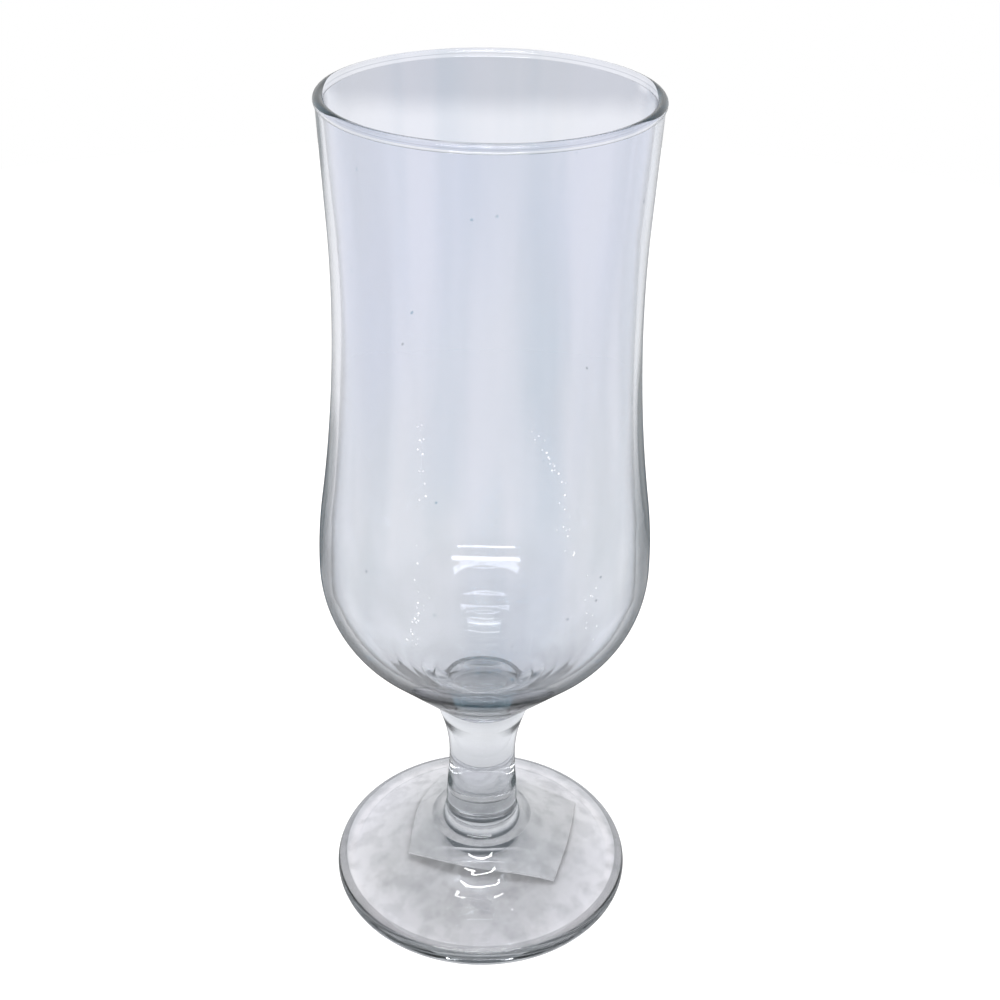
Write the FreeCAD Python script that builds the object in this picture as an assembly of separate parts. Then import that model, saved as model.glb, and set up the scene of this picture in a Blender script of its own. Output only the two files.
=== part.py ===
# Stemmed glass goblet: a blown bowl, a drawn stem and a pressed foot, joined hot, with a blank
# paper label stuck in the hollow under the foot. The glass pieces are turned about +Z.
# The origin is the centre of the ring that the foot stands on. All sizes are in millimetres.

import FreeCAD, Part
import math
import os

# Heights of the three glass pieces, stacked
foot_height = 15.8
stem_height = 36.6
bowl_height = 142.6

# Seams where the pieces are joined hot
foot_seam_radius = 12.2
bowl_seam_radius = 10.3

# Foot: a bell-shaped top that falls to a lip, and a rounded edge
foot_radius = 35.9
foot_widest_height = 2.3
lip_width = 1.7
lip_height = 4.9
skirt_slope_degrees = -38.0

# Underside of the foot: the standing ring and the hollow inside it
edge_round_width = 2.2
standing_ring_width = 2.9
hollow_bevel_width = 0.8
hollow_bevel_height = 0.3
hollow_depth = 2.4

# Stem, heights above its seam with the foot
fillet_radius = 3.6
stem_waist_radius = 7.9
stem_waist_height = 20.2
collar_height = 3.6
collar_radius = 10.05
collar_bulge = 0.3

# Outside of the bowl, heights above its seam with the stem
rib_count = 4
rib_rise = 0.15
ribbed_share = 0.7
shoulder_round_share = 0.745
belly_radius = 36.45
belly_height = 38.9
belly_share = 0.25
bowl_waist_radius = 31.4
bowl_waist_height = 105.6
flare_arc_height = 12.0
flare_arc_out = 0.29
rim_radius = 33.17

# Glass thickness of the bowl, and the fire-polished bead of its rim
base_thickness = 6.0
neck_wall = 4.8
belly_wall = 2.3
waist_wall = 1.6
rim_wall = 1.45
bead_overhang_out = 0.37
bead_overhang_in = 0.22

# Blank paper label in the hollow under the foot
label_width = 34.0
label_depth = 28.0
label_thickness = 0.2
label_turn_degrees = -12.0
label_centre_x = 3.5
label_centre_y = 6.8
label_edge_margin = 0.7

# How far the block that cuts the label to size stands past it
cutting_overrun = 5.0

full_turn_degrees = 360.0
origin = FreeCAD.Vector(0, 0, 0)
up = FreeCAD.Vector(0, 0, 1)
inwards = FreeCAD.Vector(-1, 0, 0)

# Heights above the table, and radii under the foot, that follow from the sizes
stem_base = foot_height
bowl_base = foot_height + stem_height
overall_height = bowl_base + bowl_height
standing_ring_outer = foot_radius - edge_round_width
standing_ring_inner = standing_ring_outer - standing_ring_width
hollow_radius = standing_ring_inner - hollow_bevel_width


def at(radius, height):
    """A point of an outline, in the plane that is turned about the axis."""
    return FreeCAD.Vector(radius, 0, height)


def between(start, end, share):
    return start + (end - start) * share


def line(start, end):
    return Part.LineSegment(start, end).toShape()


def circle_arc(start, middle, end):
    """An arc held as a circle: it turns into part of a sphere, or of the rim's bead."""
    return Part.Arc(start, middle, end).toShape()


def arc(start, middle, end):
    """An arc held as a spline, so that the box of the turned face fits it closely."""
    return Part.Arc(start, middle, end).toBSpline().toShape()


def arc_leaving(start, direction, end):
    """The arc that leaves its start along a unit direction and ends at end."""
    sideways = FreeCAD.Vector(-direction.z, 0, direction.x)
    chord = end - start
    radius = chord.dot(chord) / (2 * chord.dot(sideways))
    centre = start + sideways * radius
    towards_middle = ((start + end) / 2 - centre).normalize()
    return arc(start, centre + towards_middle * abs(radius), end)


def s_curve(lower, upper, lower_share):
    """Two tangent arcs that are upright at both ends and meet at a share of the way up."""
    joint = between(lower, upper, lower_share)
    return [arc_leaving(lower, up, joint), arc_leaving(upper, -up, joint)]


def turned(edges):
    """The solid that a closed outline makes when it is turned about the axis."""
    outline = Part.Wire(Part.__sortEdges__(edges))
    return Part.Face(outline).revolve(origin, up, full_turn_degrees)


def hollow_ceiling(drop):
    """A function for the points of the hollow's domed ceiling, lowered by drop."""
    dome_rise = hollow_depth - hollow_bevel_height
    dome_radius = (hollow_radius ** 2 + dome_rise ** 2) / (2 * dome_rise)
    dome_centre_height = hollow_depth - drop - dome_radius

    def point_on_dome(radius):
        return at(radius, dome_centre_height + math.sqrt(dome_radius ** 2 - radius ** 2))

    return point_on_dome


def make_foot():
    """Pressed foot: a bell-shaped top, a rounded edge, and a ring that it stands on."""
    ceiling = hollow_ceiling(0)
    seam_centre = at(0, foot_height)
    seam_edge = at(foot_seam_radius, foot_height)
    slope = math.radians(skirt_slope_degrees)
    downhill = FreeCAD.Vector(math.cos(slope), 0, math.sin(slope))
    lip = at(foot_radius - lip_width, lip_height)
    widest = at(foot_radius, foot_widest_height)
    ring_outer = at(standing_ring_outer, 0)
    ring_inner = at(standing_ring_inner, 0)
    outline = [
        line(ceiling(0), seam_centre),
        line(seam_centre, seam_edge),
        arc_leaving(seam_edge, downhill, lip),
        arc_leaving(widest, up, lip),
        arc_leaving(widest, -up, ring_outer),
        line(ring_outer, ring_inner),
        line(ring_inner, ceiling(hollow_radius)),
        circle_arc(ceiling(hollow_radius), ceiling(hollow_radius / 2), ceiling(0)),
    ]
    return turned(outline)


def make_stem():
    """Solid stem: a fillet onto the foot, a waist, a flare and a collar under the bowl."""
    base_centre = at(0, stem_base)
    base_edge = at(foot_seam_radius, stem_base)
    fillet_top = at(foot_seam_radius - fillet_radius, stem_base + fillet_radius)
    waist = at(stem_waist_radius, stem_base + stem_waist_height)
    collar_base = at(collar_radius, bowl_base - collar_height)
    top_edge = at(bowl_seam_radius, bowl_base)
    top_centre = at(0, bowl_base)
    collar_middle = (collar_base + top_edge) / 2 + at(collar_bulge, 0)
    outline = [
        line(base_centre, base_edge),
        arc_leaving(base_edge, inwards, fillet_top),
        *s_curve(fillet_top, waist, 1 / 2),
        arc_leaving(waist, up, collar_base),
        arc(collar_base, collar_middle, top_edge),
        line(top_edge, top_centre),
        line(top_centre, base_centre),
    ]
    return turned(outline)


def cone_onto_shoulder(start, belly, shoulder_radius):
    """Where a line from start touches the round shoulder that ends upright at the belly."""
    centre = belly + inwards * shoulder_radius
    to_centre = centre - start
    line_length = math.sqrt(to_centre.dot(to_centre) - shoulder_radius ** 2)
    angle_of_centre = math.atan2(to_centre.z, to_centre.x)
    angle_of_line = angle_of_centre - math.atan2(shoulder_radius, line_length)
    return start + at(math.cos(angle_of_line), math.sin(angle_of_line)) * line_length


def ribbed_cone(start, end):
    """The cone under the bowl: shallow ribs that a mould leaves round its lower part."""
    outwards = FreeCAD.Vector(end.z - start.z, 0, start.x - end.x).normalize()
    edges = []
    for index in range(rib_count):
        low = between(start, end, index / rib_count * ribbed_share)
        high = between(start, end, (index + 1) / rib_count * ribbed_share)
        edges.append(arc(low, (low + high) / 2 + outwards * rib_rise, high))
    edges.append(line(high, end))
    return edges


def cavity_bottom(side, shoulder_radius, seam_edge, cone_top):
    """From the upright side round the shoulder, down a cone, and level onto the axis."""
    into_wall = FreeCAD.Vector(seam_edge.z - cone_top.z, 0, cone_top.x - seam_edge.x).normalize()
    neck = seam_edge + into_wall * neck_wall
    inner_cone_top = cone_onto_shoulder(neck, side, shoulder_radius - belly_wall)
    downhill = (neck - inner_cone_top).normalize()
    floor = at(0, bowl_base + base_thickness)
    level_with_floor = neck + downhill * ((floor.z - neck.z) / downhill.z)
    inner_cone_end = level_with_floor - downhill * level_with_floor.x
    return [
        arc_leaving(side, -up, inner_cone_top),
        line(inner_cone_top, inner_cone_end),
        arc_leaving(floor, -inwards, inner_cone_end),
    ]


def make_bowl():
    """Blown bowl: a ribbed base, a belly, a waist, and a rim with a fire-polished bead."""
    base_centre = at(0, bowl_base)
    seam_edge = at(bowl_seam_radius, bowl_base)
    belly = at(belly_radius, bowl_base + belly_height)
    shoulder_radius = belly_height * shoulder_round_share
    cone_top = cone_onto_shoulder(seam_edge, belly, shoulder_radius)
    waist = at(bowl_waist_radius, bowl_base + bowl_waist_height)
    flare_start = waist + at(flare_arc_out, flare_arc_height)

    bead_radius = (rim_wall + bead_overhang_out + bead_overhang_in) / 2
    bead_centre = at(rim_radius - bead_radius, overall_height - bead_radius)

    def under_bead(radius):
        """Where a wall of this radius meets the bead from below."""
        beside = radius - bead_centre.x
        return at(radius, bead_centre.z - math.sqrt(bead_radius ** 2 - beside ** 2))

    rim_outer = under_bead(rim_radius - bead_overhang_out)
    rim_inner = under_bead(rim_radius - bead_overhang_out - rim_wall)
    inner_belly = belly + inwards * belly_wall
    inner_waist = waist + inwards * waist_wall
    inner_flare_start = flare_start + inwards * waist_wall

    outline = [
        line(at(0, bowl_base + base_thickness), base_centre),
        line(base_centre, seam_edge),
        *ribbed_cone(seam_edge, cone_top),
        arc_leaving(belly, -up, cone_top),
        *s_curve(belly, waist, belly_share),
        arc_leaving(waist, up, flare_start),
        line(flare_start, rim_outer),
        circle_arc(rim_outer, bead_centre + up * bead_radius, rim_inner),
        line(rim_inner, inner_flare_start),
        arc_leaving(inner_waist, up, inner_flare_start),
        *s_curve(inner_belly, inner_waist, belly_share),
        *cavity_bottom(inner_belly, shoulder_radius, seam_edge, cone_top),
    ]
    return turned(outline)


def make_base_label():
    """Thin blank paper label that lies against the ceiling of the hollow."""
    label_limit = hollow_radius - label_edge_margin
    upper = hollow_ceiling(0)
    lower = hollow_ceiling(label_thickness)
    sheet = turned([
        line(lower(0), upper(0)),
        circle_arc(upper(0), upper(label_limit / 2), upper(label_limit)),
        line(upper(label_limit), lower(label_limit)),
        circle_arc(lower(label_limit), lower(label_limit / 2), lower(0)),
    ])
    corner = FreeCAD.Vector(-label_width / 2, -label_depth / 2, -cutting_overrun)
    block = Part.makeBox(label_width, label_depth, hollow_depth + 2 * cutting_overrun, corner)
    block.rotate(origin, up, label_turn_degrees)
    block.translate(FreeCAD.Vector(label_centre_x, label_centre_y, 0))
    return sheet.common(block)


def main():
    os.makedirs("parts", exist_ok=True)
    nodes = {
        "foot": make_foot(),
        "stem": make_stem(),
        "bowl": make_bowl(),
        "base_label": make_base_label(),
    }
    for name, shape in nodes.items():
        box = shape.BoundBox
        print(name, shape.isValid(), len(shape.Solids), "solids", round(shape.Volume), "mm3",
              "z", round(box.ZMin, 2), "to", round(box.ZMax, 2), "radius", round(box.XMax, 2))
        shape.exportStep(os.path.join("parts", name + ".step"))


main()
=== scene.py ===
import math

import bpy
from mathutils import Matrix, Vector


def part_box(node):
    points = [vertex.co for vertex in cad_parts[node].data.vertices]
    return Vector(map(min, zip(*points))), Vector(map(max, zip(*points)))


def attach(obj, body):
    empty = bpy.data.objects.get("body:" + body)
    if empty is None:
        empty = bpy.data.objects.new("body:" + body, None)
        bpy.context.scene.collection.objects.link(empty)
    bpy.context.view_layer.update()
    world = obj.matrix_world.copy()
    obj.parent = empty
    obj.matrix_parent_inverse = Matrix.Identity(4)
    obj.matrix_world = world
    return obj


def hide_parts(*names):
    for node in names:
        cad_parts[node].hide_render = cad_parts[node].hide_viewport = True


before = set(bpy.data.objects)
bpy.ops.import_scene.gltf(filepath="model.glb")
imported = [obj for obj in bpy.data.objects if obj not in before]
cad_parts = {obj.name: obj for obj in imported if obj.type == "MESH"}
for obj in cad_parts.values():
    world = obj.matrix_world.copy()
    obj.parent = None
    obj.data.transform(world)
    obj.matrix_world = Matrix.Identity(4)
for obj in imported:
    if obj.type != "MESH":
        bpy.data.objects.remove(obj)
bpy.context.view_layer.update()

# Looks of the stemmed glass goblet. The glass pieces are turned meshes on the same sizes as the
# solids that they stand for, but with shallower ribs and a hair's breadth of room over the label.
# Outline sizes are in millimetres, and everything in the scene and in its materials is in metres.

millimetre = 0.001

# Heights and largest radii, from the solids
foot_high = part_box("foot")[1]
stem_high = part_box("stem")[1]
bowl_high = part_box("bowl")[1]
stem_base = foot_high.z / millimetre
bowl_base = stem_high.z / millimetre
overall_height = bowl_high.z / millimetre
foot_radius = foot_high.x / millimetre
belly_radius = bowl_high.x / millimetre

# Seams between the pieces
foot_seam_radius = 12.2
bowl_seam_radius = 10.3

# Foot
foot_widest_height = 2.3
lip_width = 1.7
lip_height = 4.9
skirt_slope_degrees = -38.0
dark_lip_width = 0.6
edge_round_width = 2.2
standing_ring_width = 2.9
hollow_bevel_width = 0.8
hollow_bevel_height = 0.3
hollow_depth = 2.4
gap_over_label = 0.03

# Stem, heights above its seam with the foot
fillet_radius = 3.6
stem_waist_radius = 7.9
stem_waist_height = 20.2
collar_height = 3.6
collar_radius = 10.05
collar_bulge = 0.3

# Bowl, heights above its seam with the stem
rib_count = 4
rib_rise = 0.06
ribbed_share = 0.7
shoulder_round_share = 0.745
belly_height = 38.9
belly_share = 0.25
bowl_waist_radius = 31.4
bowl_waist_height = 105.6
flare_arc_height = 12.0
flare_arc_out = 0.29
rim_radius = 33.17
base_thickness = 6.0
neck_wall = 4.8
belly_wall = 2.3
waist_wall = 1.6
rim_wall = 1.45
bead_overhang_out = 0.37
bead_overhang_in = 0.22

# Unevenness: faint broken rings on the foot, and folds inside the bowl that fade towards its
# bottom. Waves round the axis shape both: their number in a turn, the radians that they shift for
# each millimetre of radius or height, the radians that they start at, and their size as a share.
foot_ripple = 0.004
foot_ripple_length = 2.3
foot_ripple_wander = 0.5
foot_wander_waves = (
    {"number": 5, "shift": 0.0, "start": 1.0, "share": 1.0},
    {"number": 13, "shift": 0.35, "start": 2.2, "share": 1.0},
)
foot_unbroken_share = 0.6
foot_break_waves = ({"number": 9, "shift": -0.9, "start": 0.0, "share": 0.4},)
bowl_ripple = 0.015
bowl_fade_power = 3
bowl_fold_waves = (
    {"number": 5, "shift": 0.04, "start": 0.0, "share": 1.0},
    {"number": 11, "shift": -0.07, "start": 2.0, "share": 1.0},
    {"number": 23, "shift": 0.11, "start": 0.7, "share": 0.3},
)

# How finely the outlines are divided, and how near to the axis a point counts as on it
turn_segments = 256
longest_step = 0.7
finest_step = 0.3
largest_turn_degrees = 4.0
crisp_degrees = 20.0
axis_tolerance = 0.001

# Camera of the photograph
camera_place = (0.007444, -0.275896, 0.270822)
camera_yaw = -0.01549
camera_pitch_down = 0.53801
camera_roll = 0.01864
camera_lens = 53.219
camera_sensor = 36.0
nearest_seen = 0.01

# Glass: what one wall lets through of what is seen behind it, which goes from the low tint to the
# high one with height and in clouds, what a metre of glass takes away, and what each face lets
# through of the light that falls on the table and the label
glass_ior = 1.5
low_tint = (0.842, 0.855, 0.882)
high_tint = (0.846, 0.862, 0.934)
high_tint_heights = (0.08, 0.16)
clouds_per_metre = (30.0, 30.0, 12.0)
cloud_detail = 2
cloud_range = (0.35, 0.65)
cloud_share = 0.45
taken_per_metre = (5.0, 4.6, 4.4)
light_passed = (0.95, 0.95, 0.955)

# Painted shade at the outlines of the glass, which darkens from the first facing share to the
# second: a thin band everywhere, and a broad one where the glass is thick, painted in for the
# darkness that thick glass shows at its edges, with darker painted patches at two heights by the
# stem. The stops give shares of the overall height and how dark the painted shade is there, or its
# tint. The foot's lip has painted shade all round, and so have painted dark lines at the edges of
# the ribs and one round the stem.
facing_blend = 0.5
painted_shade_tints = ((0.35, (0.235, 0.262, 0.27)), (0.43, (0.08, 0.32, 0.46)))
thin_painted_shade_range = (0.72, 0.98)
thin_painted_shade_stops = (
    (0.0, 0.9), (0.03, 0.9), (0.06, 0.7), (0.1, 0.9), (0.25, 0.6), (0.265, 0.3), (0.33, 0.4),
    (0.36, 1.0), (0.6, 0.9), (0.75, 0.5), (0.97, 0.5), (0.985, 0.4), (1.0, 0.4))
broad_painted_shade_range = (0.47, 0.78)
broad_painted_shade_stops = (
    (0.134, 0.0), (0.141, 2.0), (0.149, 2.0), (0.159, 0.0), (0.232, 0.0), (0.24, 0.8), (0.25, 0.8),
    (0.258, 0.0), (0.33, 0.0), (0.36, 0.65), (0.42, 0.7), (0.48, 0.6), (0.52, 0.6), (0.58, 0.35),
    (0.7, 0.0))
painted_lip_shade = 0.37
painted_rib_line_shade = 0.85
painted_stem_line_shade = 0.4

# Smears left by wiping: upright streaks on the bowl and blotches on the foot, each where its noise
# passes the range, and over a range of heights
streaks_per_metre = (70.0, 70.0, 5.0)
streak_detail = 3
streak_range = (0.42, 0.68)
streak_heights = (0.016, 0.06)
streak_strength = 0.06
blotches_per_metre = (190.0, 190.0, 190.0)
blotch_detail = 7
blotch_range = (0.45, 0.66)
blotch_heights = (0.016, 0.03)
blotch_strength = 0.15

# Dots, one in some of the cells of a pattern: how they fade outwards, as shares of a cell, and how
# softly a cell's chance decides whether it has one
dot_fade_range = (0.1, 0.25)
dot_chance_width = 0.02
dust_per_metre = 450.0
dust_kept_from = 0.988
dust_strength = 0.8

# Two wavering rows of dried drops on the front of the bowl: their azimuths at the top, how far
# these turn for each metre down, how they waver, and how the rows fade at their sides and ends
drops_per_metre = 850.0
drops_kept_from = 0.35
drop_strength = 0.7
drop_colour = (0.9, 0.91, 0.93)
drop_rows = ({"azimuth": -1.936, "turn": 0.0}, {"azimuth": -1.17, "turn": 7.5})
drop_waver = 0.035
drop_waver_per_metre = 260.0
drop_side_range = (0.015, 0.05)
drop_row_top = 0.135
drop_row_bottom = 0.088
drop_top_fade = 0.01
drop_bottom_fade = 0.004

# Paper of the label, from its darkest fibres to its lightest
paper_stops = ((0.3, (0.51, 0.505, 0.50)), (0.7, (0.63, 0.625, 0.62)))
fibres_per_metre = (900.0, 2600.0, 900.0)
fibre_detail = 3
fibre_share = 0.5
fibre_bump_strength = 0.3
fibre_bump_height = 0.00005
paper_clouds_per_metre = (130.0, 130.0, 130.0)
paper_cloud_detail = 2
paper_roughness = 0.8

# Table. What the glass shows of it has a painted shadow and painted gathered light in rings
# round the foot, which stand for the foot's shadow and the light that it gathers, and a darker
# painted shadow in a round spot in front of the middle. The stops give shares of the reach, and
# through the fade range it turns into plain white.
floor_radius = 0.6
floor_corners = 128
floor_gap = 0.0001
floor_matt = 0.64
floor_glow = 0.4
floor_glow_through_glass = 0.12
floor_shade_reach = 0.16
floor_shade_stops = (
    (0.0, (0.99, 0.985, 0.98)),
    (0.05, (0.99, 0.985, 0.98)),
    (0.075, (0.88, 0.865, 0.86)),
    (0.125, (0.87, 0.86, 0.855)),
    (0.155, (0.96, 0.945, 0.945)),
    (0.19, (1.05, 1.03, 1.035)),
    (0.196, (1.12, 1.09, 1.09)),
    (0.201, (1.12, 1.09, 1.09)),
    (0.208, (0.86, 0.855, 0.86)),
    (0.23, (0.72, 0.725, 0.735)),
    (0.27, (0.78, 0.785, 0.80)),
    (0.5, (0.95, 0.955, 0.965)),
    (1.0, (1.0, 1.0, 1.0)),
)
floor_fade_range = (0.12, 0.30)
front_shade = 0.80
front_shade_centre = (0.0, -0.022, 0.0)
front_shade_range = (0.008, 0.032)

# Room, as the glass shows it: stops from straight down to straight up, where one is white, and a
# greyer patch low behind the goblet, by the height and depth of its direction
room_stops = (
    (0.0, (1.0, 1.0, 1.0)),
    (0.62, (1.0, 1.0, 1.0)),
    (0.72, (0.80, 0.81, 0.83)),
    (0.80, (0.19, 0.205, 0.22)),
    (0.89, (0.17, 0.185, 0.20)),
    (0.92, (0.65, 0.66, 0.68)),
    (1.0, (0.75, 0.75, 0.77)),
)
straight_down = -1.0
patch_shade = (0.71, 0.72, 0.745)
patch_foot_range = (-0.287, -0.267)
patch_top_range = (-0.235, -0.12)
patch_side_range = (0.92, 0.955)

# Lamps, which all point at the goblet
lamp_target = (0.0, 0.0, 0.1)
front_lamp = {"place": (0.0, -0.75, 1.1), "length": 1.2, "depth": 0.1, "power": 6.0}
low_lamp = {"place": (0.0, -1.0, 0.95), "length": 1.1, "depth": 0.045, "power": 2.5}
overhead_distance = 1.2
overhead_length = 0.65
overhead_depth = 0.016
overhead_lamps = (
    {"elevation_degrees": 62.5, "power": 1.0},
    {"elevation_degrees": 69.0, "power": 1.2},
    {"elevation_degrees": 75.0, "power": 1.0},
    {"elevation_degrees": 80.5, "power": 0.7},
    {"elevation_degrees": 89.0, "power": 0.4},
)

# How many times a ray may turn: in all, through glass, and through clear faces
most_bounces = 24
most_glass_bounces = 24
most_clear_bounces = 32


def at(radius, height):
    """A point of an outline."""
    return Vector((radius, height))


up = at(0, 1)
inwards = at(-1, 0)


def turned_left(direction):
    return at(-direction.y, direction.x)


def turned_by(offset, angle):
    """An offset turned about its start by an angle in radians."""
    cosine, sine = math.cos(angle), math.sin(angle)
    return at(offset.x * cosine - offset.y * sine, offset.x * sine + offset.y * cosine)


def line(start, end):
    steps = max(1, math.ceil((end - start).length / longest_step))
    return [start.lerp(end, step / steps) for step in range(steps + 1)]


def arc_leaving(start, direction, end, step=longest_step):
    """Points of the arc that leaves start along a unit direction and ends at end."""
    sideways = turned_left(direction)
    chord = end - start
    radius = chord.dot(chord) / (2 * chord.dot(sideways))
    centre = start + sideways * radius
    sweep = 2 * math.atan2(chord.dot(sideways), chord.dot(direction))
    steps_by_length = abs(sweep * radius) / step
    steps_by_turn = abs(math.degrees(sweep)) / largest_turn_degrees
    steps = max(2, math.ceil(max(steps_by_length, steps_by_turn)))
    return [centre + turned_by(start - centre, sweep * n / steps) for n in range(steps + 1)]


def arc_through(start, middle, end):
    """Points of the arc through three points, where middle is half way along it."""
    chord = (end - start).normalized()
    to_middle = (middle - start).normalized()
    direction = to_middle * 2 * to_middle.dot(chord) - chord
    return arc_leaving(start, direction.normalized(), end)


def s_curve(lower, upper, lower_share):
    """Two tangent arcs that are upright at both ends and meet at a share of the way up."""
    joint = lower.lerp(upper, lower_share)
    return [arc_leaving(lower, up, joint), arc_leaving(upper, -up, joint)[::-1]]


def make_camera():
    yaw_part = (math.sin(camera_yaw), math.cos(camera_yaw))
    forwards = Vector((
        yaw_part[0] * math.cos(camera_pitch_down),
        yaw_part[1] * math.cos(camera_pitch_down),
        -math.sin(camera_pitch_down),
    ))
    level_right = Vector((yaw_part[1], -yaw_part[0], 0))
    level_up = level_right.cross(forwards)
    right = level_right * math.cos(camera_roll) + level_up * math.sin(camera_roll)
    upwards = level_up * math.cos(camera_roll) - level_right * math.sin(camera_roll)
    turn = Matrix((right, upwards, -forwards)).transposed()
    settings = bpy.data.cameras.new("camera")
    settings.lens = camera_lens
    settings.sensor_width = camera_sensor
    settings.clip_start = nearest_seen
    camera = bpy.data.objects.new("camera", settings)
    camera.matrix_world = Matrix.Translation(camera_place) @ turn.to_4x4()
    bpy.context.scene.collection.objects.link(camera)
    bpy.context.scene.camera = camera


def unmoved(azimuth, point, number):
    return 0, 0


def lathe(name, stretches, material, seams, outside=(), painted_lips=(), painted_line_shades=None, wave=unmoved):
    """A closed mesh turned about the axis from an outline that runs from the axis to the axis.

    stretches are lists of points end to end, anticlockwise. seams are the numbers of those where
    the piece is melted to the next, outside of those that get the broad painted shade, and lips of
    those that get painted shade all round. painted_line_shades gives how dark the painted shade line
    is that a stretch ends in, by its number. wave gives how far a point moves outwards and up, by its
    azimuth and stretch.
    """
    painted_line_shades = painted_line_shades or {}
    outline = []
    for number, points in enumerate(stretches):
        for point in points if number == 0 else points[1:]:
            shade = painted_line_shades.get(number, 0) if point is points[-1] else 0
            outline.append((point, number, float(shade)))
    corners = []
    corner_shades = []
    rings = []
    for point, number, shade in outline:
        on_axis = point.x < axis_tolerance
        count = 1 if on_axis else turn_segments
        rings.append(range(len(corners), len(corners) + count))
        corner_shades += [shade] * count
        for segment in range(count):
            azimuth = math.tau * segment / turn_segments
            outward, upward = wave(azimuth, point, number)
            radius = 0 if on_axis else (point.x + outward) * millimetre
            height = (point.y + upward) * millimetre
            corners.append((radius * math.cos(azimuth), radius * math.sin(azimuth), height))
    faces = []
    face_stretches = []
    for low, high, (point, number, shade) in zip(rings, rings[1:], outline[1:]):
        for segment in range(turn_segments):
            after = (segment + 1) % turn_segments
            if len(low) == 1:
                face = (low[0], high[after], high[segment])
            elif len(high) == 1:
                face = (low[segment], low[after], high[0])
            else:
                face = (low[segment], low[after], high[after], high[segment])
            faces.append(face)
            face_stretches.append(number)
    mesh = bpy.data.meshes.new(name)
    mesh.from_pydata(corners, [], faces)
    mesh.materials.append(material)
    # The lip and line values give faces and corners painted shade in the glass's material
    for attribute, numbers in {"seam": seams, "outside": outside, "lip": painted_lips}.items():
        values = [float(number in numbers) for number in face_stretches]
        mesh.attributes.new(attribute, "FLOAT", "FACE").data.foreach_set("value", values)
    mesh.attributes.new("line", "FLOAT", "POINT").data.foreach_set("value", corner_shades)
    mesh.polygons.foreach_set("use_smooth", [True] * len(faces))
    mesh.set_sharp_from_angle(angle=math.radians(crisp_degrees))
    mesh.validate()
    piece = bpy.data.objects.new(name, mesh)
    bpy.context.scene.collection.objects.link(piece)
    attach(piece, "root")
    return piece


def summed_waves(waves, azimuth, along):
    """The sum of waves round the axis, at an azimuth and a radius or height in millimetres."""
    return sum(
        wave["share"] * math.sin(wave["number"] * azimuth + wave["shift"] * along + wave["start"])
        for wave in waves)


def foot_outline():
    """From the hollow's ceiling outwards along the underside, over the edge and up to the seam."""
    ring_outer = at(foot_radius - edge_round_width, 0)
    ring_inner = ring_outer + inwards * standing_ring_width
    bevel_top = ring_inner + inwards * hollow_bevel_width + up * (hollow_bevel_height + gap_over_label)
    ceiling = at(0, hollow_depth + gap_over_label)
    widest = at(foot_radius, foot_widest_height)
    lip = at(foot_radius - lip_width, lip_height)
    # The outer part of the top, next to the lip, gets the painted shade too
    dark_from = lip.x - dark_lip_width
    seam_edge = at(foot_seam_radius, stem_base)
    slope = math.radians(skirt_slope_degrees)
    downhill = at(math.cos(slope), math.sin(slope))
    top = arc_leaving(seam_edge, downhill, lip, finest_step)[::-1]
    dark_points = sum(point.x > dark_from for point in top)
    return [
        arc_leaving(ceiling, -inwards, bevel_top),
        line(bevel_top, ring_inner),
        line(ring_inner, ring_outer),
        arc_leaving(widest, -up, ring_outer)[::-1],
        arc_leaving(widest, up, lip),
        top[:dark_points],
        top[dark_points - 1:],
        line(seam_edge, at(0, stem_base)),
    ]


def foot_wave(azimuth, point, number):
    """Rings on the pressed top, which split the lamps' reflections into streaks."""
    if number != foot_top:
        return 0, 0
    wander = foot_ripple_wander * summed_waves(foot_wander_waves, azimuth, point.x)
    ring = math.sin(math.tau * (point.x + wander) / foot_ripple_length)
    broken = foot_unbroken_share + summed_waves(foot_break_waves, azimuth, point.x)
    from_seam = (point.x - foot_seam_radius) / foot_ripple_length
    return 0, foot_ripple * ring * broken * min(1, from_seam)


def stem_outline():
    base_edge = at(foot_seam_radius, stem_base)
    fillet_top = base_edge + inwards * fillet_radius + up * fillet_radius
    waist = at(stem_waist_radius, stem_base + stem_waist_height)
    collar_base = at(collar_radius, bowl_base - collar_height)
    top_edge = at(bowl_seam_radius, bowl_base)
    collar_middle = (collar_base + top_edge) / 2 - inwards * collar_bulge
    return [
        line(at(0, stem_base), base_edge),
        arc_leaving(base_edge, inwards, fillet_top),
        *s_curve(fillet_top, waist, 1 / 2),
        arc_leaving(waist, up, collar_base),
        arc_through(collar_base, collar_middle, top_edge),
        line(top_edge, at(0, bowl_base)),
    ]


def cone_onto_shoulder(start, belly, shoulder_radius):
    """Where a line from start touches the round shoulder that ends upright at the belly."""
    centre = belly + inwards * shoulder_radius
    to_centre = centre - start
    line_length = math.sqrt(to_centre.dot(to_centre) - shoulder_radius ** 2)
    angle_of_centre = math.atan2(to_centre.y, to_centre.x)
    angle_of_line = angle_of_centre - math.atan2(shoulder_radius, line_length)
    return start + at(math.cos(angle_of_line), math.sin(angle_of_line)) * line_length


def ribbed_cone(start, end):
    """The cone under the bowl: shallow convex ribs round its lower part, and plain above them."""
    outwards = -turned_left((end - start).normalized())
    stretches = []
    for index in range(rib_count):
        low = start.lerp(end, index / rib_count * ribbed_share)
        high = start.lerp(end, (index + 1) / rib_count * ribbed_share)
        stretches.append(arc_through(low, (low + high) / 2 + outwards * rib_rise, high))
    stretches.append(line(high, end))
    return stretches


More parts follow.
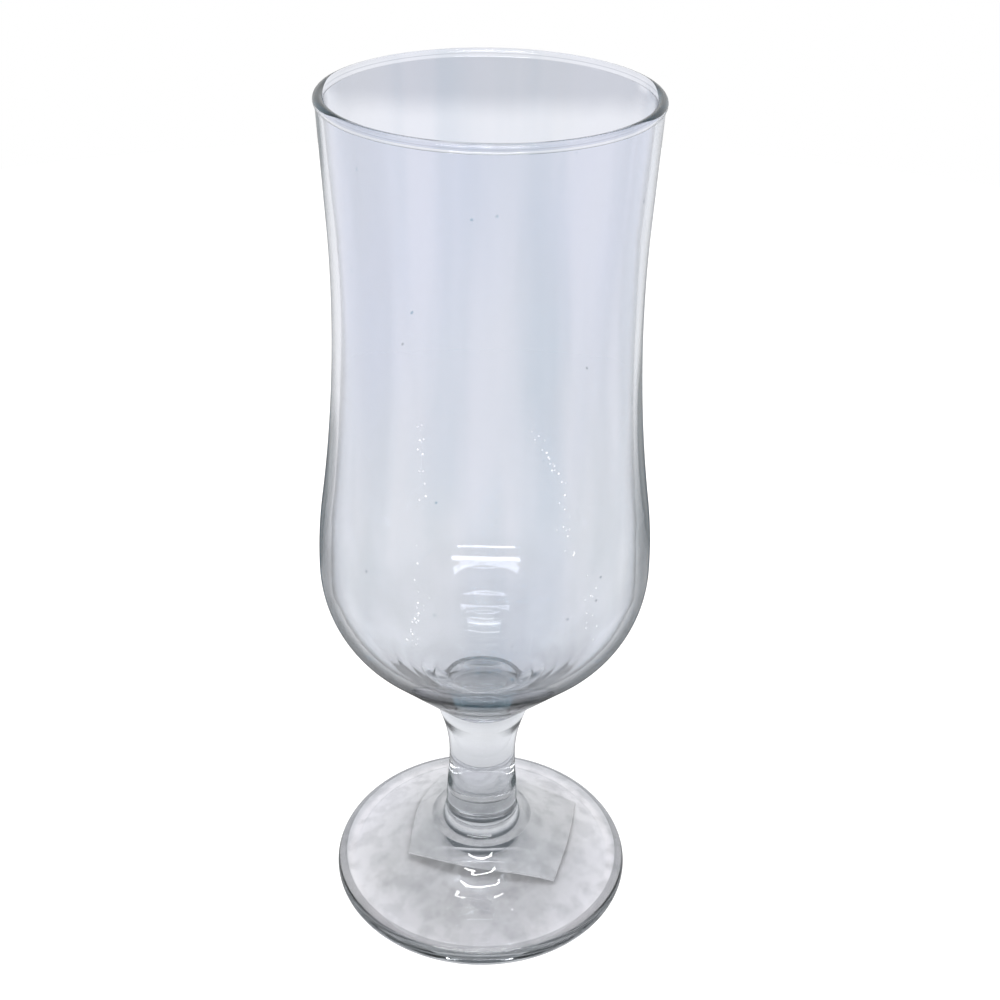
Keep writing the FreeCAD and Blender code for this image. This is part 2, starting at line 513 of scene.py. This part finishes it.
def cavity_bottom(side, shoulder_radius, seam_edge, cone_direction):
    """From the upright side round the shoulder, down a cone, and level onto the axis."""
    neck = seam_edge + turned_left(cone_direction) * neck_wall
    cone_top = cone_onto_shoulder(neck, side, shoulder_radius - belly_wall)
    downhill = (neck - cone_top).normalized()
    floor = at(0, bowl_base + base_thickness)
    level_with_floor = neck + downhill * (floor.y - neck.y) / downhill.y
    cone_end = level_with_floor - downhill * level_with_floor.x
    return [
        arc_leaving(side, -up, cone_top),
        line(cone_top, cone_end),
        arc_leaving(floor, -inwards, cone_end)[::-1],
    ]


def bowl_outline():
    """From the seam up the outside, over the rim's bead and down the inside to the axis."""
    seam_edge = at(bowl_seam_radius, bowl_base)
    belly = at(belly_radius, bowl_base + belly_height)
    shoulder_radius = belly_height * shoulder_round_share
    cone_top = cone_onto_shoulder(seam_edge, belly, shoulder_radius)
    cone_direction = (cone_top - seam_edge).normalized()
    waist = at(bowl_waist_radius, bowl_base + bowl_waist_height)
    flare_start = waist + at(flare_arc_out, flare_arc_height)
    bead_radius = (rim_wall + bead_overhang_out + bead_overhang_in) / 2
    bead_centre = at(rim_radius - bead_radius, overall_height - bead_radius)

    def under_bead(radius):
        beside = radius - bead_centre.x
        return at(radius, bead_centre.y - math.sqrt(bead_radius ** 2 - beside ** 2))

    rim_outer = under_bead(rim_radius - bead_overhang_out)
    rim_inner = under_bead(rim_radius - bead_overhang_out - rim_wall)
    bead_top = bead_centre + up * bead_radius
    inner_belly = belly + inwards * belly_wall
    inner_waist = waist + inwards * waist_wall
    inner_flare_start = flare_start + inwards * waist_wall
    lower_wall, upper_wall = s_curve(inner_belly, inner_waist, belly_share)
    return [
        line(at(0, bowl_base), seam_edge),
        *ribbed_cone(seam_edge, cone_top),
        arc_leaving(belly, -up, cone_top)[::-1],
        *s_curve(belly, waist, belly_share),
        arc_leaving(waist, up, flare_start),
        line(flare_start, rim_outer),
        arc_leaving(bead_top, -inwards, rim_outer)[::-1],
        arc_leaving(bead_top, inwards, rim_inner),
        line(rim_inner, inner_flare_start),
        arc_leaving(inner_waist, up, inner_flare_start)[::-1],
        upper_wall[::-1],
        lower_wall[::-1],
        *cavity_bottom(inner_belly, shoulder_radius, seam_edge, cone_direction),
    ]


def bowl_wave(azimuth, point, number):
    """Waviness of the blown inside, with upright folds."""
    if number <= bowl_bead_inside:
        return 0, 0
    above_floor = point.y - bowl_base - base_thickness
    fade = min(1, above_floor / belly_height) ** bowl_fade_power
    return bowl_ripple * summed_waves(bowl_fold_waves, azimuth, point.y) * fade, 0


# Numbers, in these outlines, of the stretches that get something of their own
foot_edge = 4
foot_dark_top = 5
foot_top = 6
foot_seam = 7
stem_lower_seam = 0
stem_waist = 3
stem_upper_seam = 6
bowl_seam = 0
bowl_last_rib = rib_count
bowl_bead_outside = rib_count + 7
bowl_bead_inside = rib_count + 8


def new_material(name):
    material = bpy.data.materials.new(name)
    material.use_nodes = True
    material.node_tree.nodes.clear()
    return material, material.node_tree.nodes, material.node_tree.links


def worked_out(nodes, links, operation, *values):
    """A sum on values that are sockets or numbers."""
    node = nodes.new("ShaderNodeMath")
    node.operation = operation
    for value, socket in zip(values, node.inputs):
        if isinstance(value, (int, float)):
            socket.default_value = value
        else:
            links.new(value, socket)
    return node.outputs["Value"]


def multiplied(nodes, links, first, *others):
    for other in others:
        first = worked_out(nodes, links, "MULTIPLY", first, other)
    return first


def any_of(nodes, links, first, *others):
    """The largest of the sockets: one where any of them is one."""
    for other in others:
        first = worked_out(nodes, links, "MAXIMUM", first, other)
    return first


def smooth_step(nodes, links, value, first, last, at_first=0, at_last=1):
    node = nodes.new("ShaderNodeMapRange")
    node.interpolation_type = "SMOOTHSTEP"
    node.inputs["From Min"].default_value = first
    node.inputs["From Max"].default_value = last
    node.inputs["To Min"].default_value = at_first
    node.inputs["To Max"].default_value = at_last
    links.new(value, node.inputs["Value"])
    return node.outputs["Result"]


def ramp(nodes, links, value, stops):
    """A colour by a value, from places in order and their colours."""
    node = nodes.new("ShaderNodeValToRGB")
    elements = node.color_ramp.elements
    while len(elements) < len(stops):
        elements.new(1)
    for element, (place, colour) in zip(elements, stops):
        element.position = place
        element.color = (*colour, 1)
    links.new(value, node.inputs["Fac"])
    return node.outputs["Color"]


def vector_sum(nodes, links, operation, first, second):
    """A sum on a vector socket and a second vector, which is a socket or numbers."""
    node = nodes.new("ShaderNodeVectorMath")
    node.operation = operation
    links.new(first, node.inputs[0])
    if isinstance(second, tuple):
        node.inputs[1].default_value = second
    else:
        links.new(second, node.inputs[1])
    return node


def scaled(nodes, links, colour, factor):
    """A colour times a factor, which is a socket or a number."""
    node = nodes.new("ShaderNodeVectorMath")
    node.operation = "SCALE"
    links.new(colour, node.inputs[0])
    if isinstance(factor, float):
        node.inputs["Scale"].default_value = factor
    else:
        links.new(factor, node.inputs["Scale"])
    return node.outputs["Vector"]


def mesh_value(nodes, name):
    """A number that the mesh holds for each face or corner."""
    node = nodes.new("ShaderNodeAttribute")
    node.attribute_name = name
    return node.outputs["Fac"]


def clear(nodes, colour):
    """A surface that lets this share of the light straight through."""
    node = nodes.new("ShaderNodeBsdfTransparent")
    node.inputs["Color"].default_value = (*colour, 1)
    return node


def mixed(nodes, links, share, first, second):
    """The first shader, and the second where the share is one."""
    node = nodes.new("ShaderNodeMixShader")
    links.new(share, node.inputs["Fac"])
    links.new(first, node.inputs[1])
    links.new(second, node.inputs[2])
    return node.outputs["Shader"]


def noise(nodes, links, place, per_metre, detail):
    """Noise with its own number of lumps per metre along X, Y and Z."""
    node = nodes.new("ShaderNodeTexNoise")
    node.inputs["Scale"].default_value = 1
    node.inputs["Detail"].default_value = detail
    stretched = vector_sum(nodes, links, "MULTIPLY", place, per_metre)
    links.new(stretched.outputs["Vector"], node.inputs["Vector"])
    return node.outputs["Fac"]


def dots(nodes, links, place, per_metre, kept_from):
    """Scattered round dots, one in each cell whose random number is past kept_from."""
    cells = nodes.new("ShaderNodeTexVoronoi")
    cells.inputs["Scale"].default_value = per_metre
    links.new(place, cells.inputs["Vector"])
    chance = nodes.new("ShaderNodeSeparateColor")
    links.new(cells.outputs["Color"], chance.inputs["Color"])
    inside = smooth_step(nodes, links, cells.outputs["Distance"], *dot_fade_range, 1, 0)
    kept = smooth_step(
        nodes, links, chance.outputs["Red"], kept_from, kept_from + dot_chance_width)
    return multiplied(nodes, links, inside, kept)


def smear_mask(nodes, links, place, height):
    """Where wiping has left the bowl in upright streaks and the foot in blotches."""
    streaks = noise(nodes, links, place, streaks_per_metre, streak_detail)
    blotches = noise(nodes, links, place, blotches_per_metre, blotch_detail)
    on_bowl = multiplied(
        nodes, links,
        smooth_step(nodes, links, streaks, *streak_range, 0, streak_strength),
        smooth_step(nodes, links, height, *streak_heights))
    on_foot = multiplied(
        nodes, links,
        smooth_step(nodes, links, blotches, *blotch_range, 0, blotch_strength),
        smooth_step(nodes, links, height, *blotch_heights, 1, 0))
    return any_of(nodes, links, on_bowl, on_foot)


def drop_mask(nodes, links, place, split):
    """The rows of dried drops: dots near wavering lines down the front of the bowl."""
    height = split.outputs["Z"]
    azimuth = worked_out(nodes, links, "ARCTAN2", split.outputs["Y"], split.outputs["X"])
    along = multiplied(nodes, links, height, drop_waver_per_metre)
    waver = worked_out(nodes, links, "SINE", along)
    below = worked_out(nodes, links, "SUBTRACT", drop_row_top, height)
    rows = []
    for row in drop_rows:
        centre = worked_out(nodes, links, "MULTIPLY_ADD", below, row["turn"], row["azimuth"])
        centre = worked_out(nodes, links, "MULTIPLY_ADD", waver, drop_waver, centre)
        aside = worked_out(nodes, links, "SUBTRACT", azimuth, centre)
        distance = worked_out(nodes, links, "ABSOLUTE", aside)
        rows.append(smooth_step(nodes, links, distance, *drop_side_range, 1, 0))
    return multiplied(
        nodes, links,
        dots(nodes, links, place, drops_per_metre, drops_kept_from),
        smooth_step(nodes, links, height, drop_row_bottom, drop_row_bottom + drop_bottom_fade),
        smooth_step(nodes, links, height, drop_row_top, drop_row_top + drop_top_fade, 1, 0),
        any_of(nodes, links, *rows),
        drop_strength)


def glass_tint(nodes, links, place, height):
    """From the low tint to the high one, by height and in clouds."""
    clouds = noise(nodes, links, place, clouds_per_metre, cloud_detail)
    share = worked_out(
        nodes, links, "ADD",
        smooth_step(nodes, links, height, *high_tint_heights, 0, 1 - cloud_share),
        smooth_step(nodes, links, clouds, *cloud_range, 0, cloud_share))
    return ramp(nodes, links, share, ((0, low_tint), (1, high_tint)))


def painted_shade_mask(nodes, links, height_share):
    """How dark the painted shade at the outlines is. Only faces hit from outside have it, so that a
    ray that is reflected many times inside the glass isn't darkened each time."""
    facing = nodes.new("ShaderNodeLayerWeight")
    facing.inputs["Blend"].default_value = facing_blend

    def painted_shade_of(facing_range, stops):
        edge = smooth_step(nodes, links, facing.outputs["Facing"], *facing_range)
        dark = ramp(nodes, links, height_share, [(place, (dark, dark, dark)) for place, dark in stops])
        return multiplied(nodes, links, edge, dark)

    broad_painted_shade = painted_shade_of(broad_painted_shade_range, broad_painted_shade_stops)
    shaded = any_of(
        nodes, links,
        painted_shade_of(thin_painted_shade_range, thin_painted_shade_stops),
        multiplied(nodes, links, broad_painted_shade, mesh_value(nodes, "outside")),
        multiplied(nodes, links, mesh_value(nodes, "lip"), painted_lip_shade),
        mesh_value(nodes, "line"))
    geometry = nodes.new("ShaderNodeNewGeometry")
    from_outside = worked_out(nodes, links, "SUBTRACT", 1, geometry.outputs["Backfacing"])
    return multiplied(nodes, links, shaded, from_outside)


def glass_volume(nodes):
    """Glass that takes away a little light for each metre of the way through it."""
    volume = nodes.new("ShaderNodeVolumeAbsorption")
    most_taken = max(taken_per_metre)
    volume.inputs["Density"].default_value = most_taken
    kept = [1 - taken / most_taken for taken in taken_per_metre]
    volume.inputs["Color"].default_value = (*kept, 1)
    return volume.outputs["Volume"]


def glass_material():
    """Clear glass with painted shade at its outlines, and with smears, dust and dried drops.

    Light on its way from a lamp or off a matt surface goes straight through the faces, and so does
    every ray at a seam, where the glass of two pieces has melted together.
    """
    material, nodes, links = new_material("clear_glass")
    place = nodes.new("ShaderNodeTexCoord").outputs["Object"]
    split = nodes.new("ShaderNodeSeparateXYZ")
    links.new(place, split.inputs["Vector"])
    height = split.outputs["Z"]
    height_share = worked_out(nodes, links, "DIVIDE", height, bowl_high.z)

    glass = nodes.new("ShaderNodeBsdfPrincipled")
    glass.inputs["Roughness"].default_value = 0
    glass.inputs["IOR"].default_value = glass_ior
    glass.inputs["Transmission Weight"].default_value = 1
    links.new(glass_tint(nodes, links, place, height), glass.inputs["Base Color"])

    # A dark clear tint by height, for the painted shade at the outlines and also for the smears and
    # dust
    dark = nodes.new("ShaderNodeBsdfTransparent")
    links.new(ramp(nodes, links, height_share, painted_shade_tints), dark.inputs["Color"])
    dust = dots(nodes, links, place, dust_per_metre, dust_kept_from)
    shade_smears_and_dust = any_of(
        nodes, links,
        painted_shade_mask(nodes, links, height_share),
        smear_mask(nodes, links, place, height),
        multiplied(nodes, links, dust, dust_strength))
    with_shade_smears_and_dust = mixed(nodes, links, shade_smears_and_dust, glass.outputs["BSDF"], dark.outputs["BSDF"])

    dried = nodes.new("ShaderNodeBsdfDiffuse")
    dried.inputs["Color"].default_value = (*drop_colour, 1)
    drops = drop_mask(nodes, links, place, split)
    marked = mixed(nodes, links, drops, with_shade_smears_and_dust, dried.outputs["BSDF"])

    path = nodes.new("ShaderNodeLightPath")
    lamp_side = any_of(
        nodes, links, path.outputs["Is Shadow Ray"], path.outputs["Is Diffuse Ray"])
    passed = clear(nodes, light_passed)
    lit = mixed(nodes, links, lamp_side, marked, passed.outputs["BSDF"])
    melted = clear(nodes, (1, 1, 1))
    joined = mixed(nodes, links, mesh_value(nodes, "seam"), lit, melted.outputs["BSDF"])

    output = nodes.new("ShaderNodeOutputMaterial")
    links.new(joined, output.inputs["Surface"])
    links.new(glass_volume(nodes), output.inputs["Volume"])
    return material


def paper_material():
    """Matt greyish paper with fine fibres and slightly cloudy."""
    material, nodes, links = new_material("label_paper")
    place = nodes.new("ShaderNodeTexCoord").outputs["Object"]
    fibres = noise(nodes, links, place, fibres_per_metre, fibre_detail)
    clouds = noise(nodes, links, place, paper_clouds_per_metre, paper_cloud_detail)
    tone = worked_out(
        nodes, links, "ADD",
        multiplied(nodes, links, fibres, fibre_share),
        multiplied(nodes, links, clouds, 1 - fibre_share))
    raised = nodes.new("ShaderNodeBump")
    raised.inputs["Strength"].default_value = fibre_bump_strength
    raised.inputs["Distance"].default_value = fibre_bump_height
    links.new(fibres, raised.inputs["Height"])
    paper = nodes.new("ShaderNodeBsdfPrincipled")
    paper.inputs["Roughness"].default_value = paper_roughness
    links.new(ramp(nodes, links, tone, paper_stops), paper.inputs["Base Color"])
    links.new(raised.outputs["Normal"], paper.inputs["Normal"])
    output = nodes.new("ShaderNodeOutputMaterial")
    links.new(paper.outputs["BSDF"], output.inputs["Surface"])
    return material


def make_world():
    """White to the camera and as light on matt surfaces. The glass shows the room instead."""
    world = bpy.data.worlds.new("studio")
    world.use_nodes = True
    nodes, links = world.node_tree.nodes, world.node_tree.links
    nodes.clear()
    split = nodes.new("ShaderNodeSeparateXYZ")
    links.new(nodes.new("ShaderNodeTexCoord").outputs["Generated"], split.inputs["Vector"])
    upward = split.outputs["Z"]
    upward_share = nodes.new("ShaderNodeMapRange")
    upward_share.inputs["From Min"].default_value = straight_down
    links.new(upward, upward_share.inputs["Value"])
    in_patch = multiplied(
        nodes, links,
        smooth_step(nodes, links, upward, *patch_foot_range),
        smooth_step(nodes, links, upward, *patch_top_range, 1, 0),
        smooth_step(nodes, links, split.outputs["Y"], *patch_side_range))
    shaded = vector_sum(
        nodes, links, "MULTIPLY",
        ramp(nodes, links, upward_share.outputs["Result"], room_stops),
        ramp(nodes, links, in_patch, ((0, (1, 1, 1)), (1, patch_shade))))
    room = nodes.new("ShaderNodeBackground")
    links.new(shaded.outputs["Vector"], room.inputs["Color"])
    white = nodes.new("ShaderNodeBackground")
    white.inputs["Color"].default_value = (1, 1, 1, 1)
    path = nodes.new("ShaderNodeLightPath")
    plain = any_of(nodes, links, path.outputs["Is Camera Ray"], path.outputs["Is Diffuse Ray"])
    output = nodes.new("ShaderNodeOutputWorld")
    links.new(
        mixed(nodes, links, plain, room.outputs["Background"], white.outputs["Background"]),
        output.inputs["Surface"])
    bpy.context.scene.world = world


def floor_shade(nodes, links, place, distance):
    """The colour of the rings of shade, darker round the front shade's centre."""
    share = nodes.new("ShaderNodeMapRange")
    share.inputs["From Max"].default_value = floor_shade_reach
    links.new(distance, share.inputs["Value"])
    rings = ramp(nodes, links, share.outputs["Result"], floor_shade_stops)
    to_front = vector_sum(nodes, links, "DISTANCE", place, front_shade_centre)
    front = smooth_step(
        nodes, links, to_front.outputs["Value"], *front_shade_range, front_shade, 1)
    return scaled(nodes, links, rings, front)


def lit_floor(nodes, links, glow_strength, shade=None):
    """A matt surface that also glows, in the colour of a shade if there is one."""
    matt = nodes.new("ShaderNodeBsdfDiffuse")
    glow = nodes.new("ShaderNodeEmission")
    glow.inputs["Strength"].default_value = glow_strength
    if shade:
        links.new(scaled(nodes, links, shade, floor_matt), matt.inputs["Color"])
        links.new(shade, glow.inputs["Color"])
    else:
        matt.inputs["Color"].default_value = (floor_matt, floor_matt, floor_matt, 1)
    both = nodes.new("ShaderNodeAddShader")
    links.new(matt.outputs["BSDF"], both.inputs[0])
    links.new(glow.outputs["Emission"], both.inputs[1])
    return both.outputs["Shader"]


def make_floor():
    """A round white table. Through the glass and in reflections it has the rings of shade round
    the foot, and further out it is as white as the room, so that its edge doesn't show."""
    bpy.ops.mesh.primitive_circle_add(
        vertices=floor_corners, radius=floor_radius, fill_type="NGON")
    floor = bpy.context.object
    floor.name = "floor"
    floor.location.z = -floor_gap
    material, nodes, links = new_material("floor")
    place = nodes.new("ShaderNodeNewGeometry").outputs["Position"]
    distance = vector_sum(nodes, links, "DISTANCE", place, (0, 0, 0)).outputs["Value"]
    shade = floor_shade(nodes, links, place, distance)
    white = nodes.new("ShaderNodeEmission")
    white.inputs["Color"].default_value = (1, 1, 1, 1)
    far = smooth_step(nodes, links, distance, *floor_fade_range)
    near_floor = lit_floor(nodes, links, floor_glow_through_glass, shade)
    in_glass = mixed(nodes, links, far, near_floor, white.outputs["Emission"])
    path = nodes.new("ShaderNodeLightPath")
    through_glass = any_of(
        nodes, links, path.outputs["Is Glossy Ray"], path.outputs["Is Transmission Ray"])
    output = nodes.new("ShaderNodeOutputMaterial")
    links.new(
        mixed(nodes, links, through_glass, lit_floor(nodes, links, floor_glow), in_glass),
        output.inputs["Surface"])
    floor.data.materials.append(material)


def make_lamp(name, place, length, depth, power):
    """A long soft lamp that points at the goblet."""
    settings = bpy.data.lights.new(name, "AREA")
    settings.shape = "RECTANGLE"
    settings.size = length
    settings.size_y = depth
    settings.energy = power
    lamp = bpy.data.objects.new(name, settings)
    lamp.location = place
    lamp.rotation_euler = (Vector(place) - Vector(lamp_target)).to_track_quat("Z", "Y").to_euler()
    bpy.context.scene.collection.objects.link(lamp)


def make_lamps():
    """Two lamps in front, and a row of thin ones from the front up to overhead."""
    make_lamp("front_lamp", **front_lamp)
    make_lamp("low_lamp", **low_lamp)
    for number, lamp in enumerate(overhead_lamps):
        elevation = math.radians(lamp["elevation_degrees"])
        outwards = Vector((0, -math.cos(elevation), math.sin(elevation)))
        place = Vector(lamp_target) + outwards * overhead_distance
        name = "overhead_lamp_%d" % number
        make_lamp(name, place, overhead_length, overhead_depth, lamp["power"])


make_camera()
make_world()
make_floor()
make_lamps()

glass = glass_material()
foot = lathe("pressed_foot", foot_outline(), glass, seams=(foot_seam,),
             painted_lips=(foot_edge, foot_dark_top), wave=foot_wave)
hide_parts("foot")
# The stem gets one painted dark line of shade round its waist
stem = lathe("drawn_stem", stem_outline(), glass, seams=(stem_lower_seam, stem_upper_seam),
             outside=range(stem_lower_seam + 1, stem_upper_seam),
             painted_line_shades={stem_waist: painted_stem_line_shade})
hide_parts("stem")
# The edges of the bowl's ribs get painted dark lines of shade
painted_rib_lines = dict.fromkeys(range(bowl_seam, bowl_last_rib + 1), painted_rib_line_shade)
bowl = lathe("blown_bowl", bowl_outline(), glass, seams=(bowl_seam,),
             outside=range(bowl_seam + 1, bowl_bead_outside), painted_line_shades=painted_rib_lines,
             wave=bowl_wave)
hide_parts("bowl")

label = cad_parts["base_label"]
label.data.materials.clear()
label.data.materials.append(paper_material())

scene = bpy.context.scene
scene.view_settings.view_transform = "Standard"
scene.cycles.max_bounces = most_bounces
scene.cycles.transmission_bounces = most_glass_bounces
scene.cycles.transparent_max_bounces = most_clear_bounces
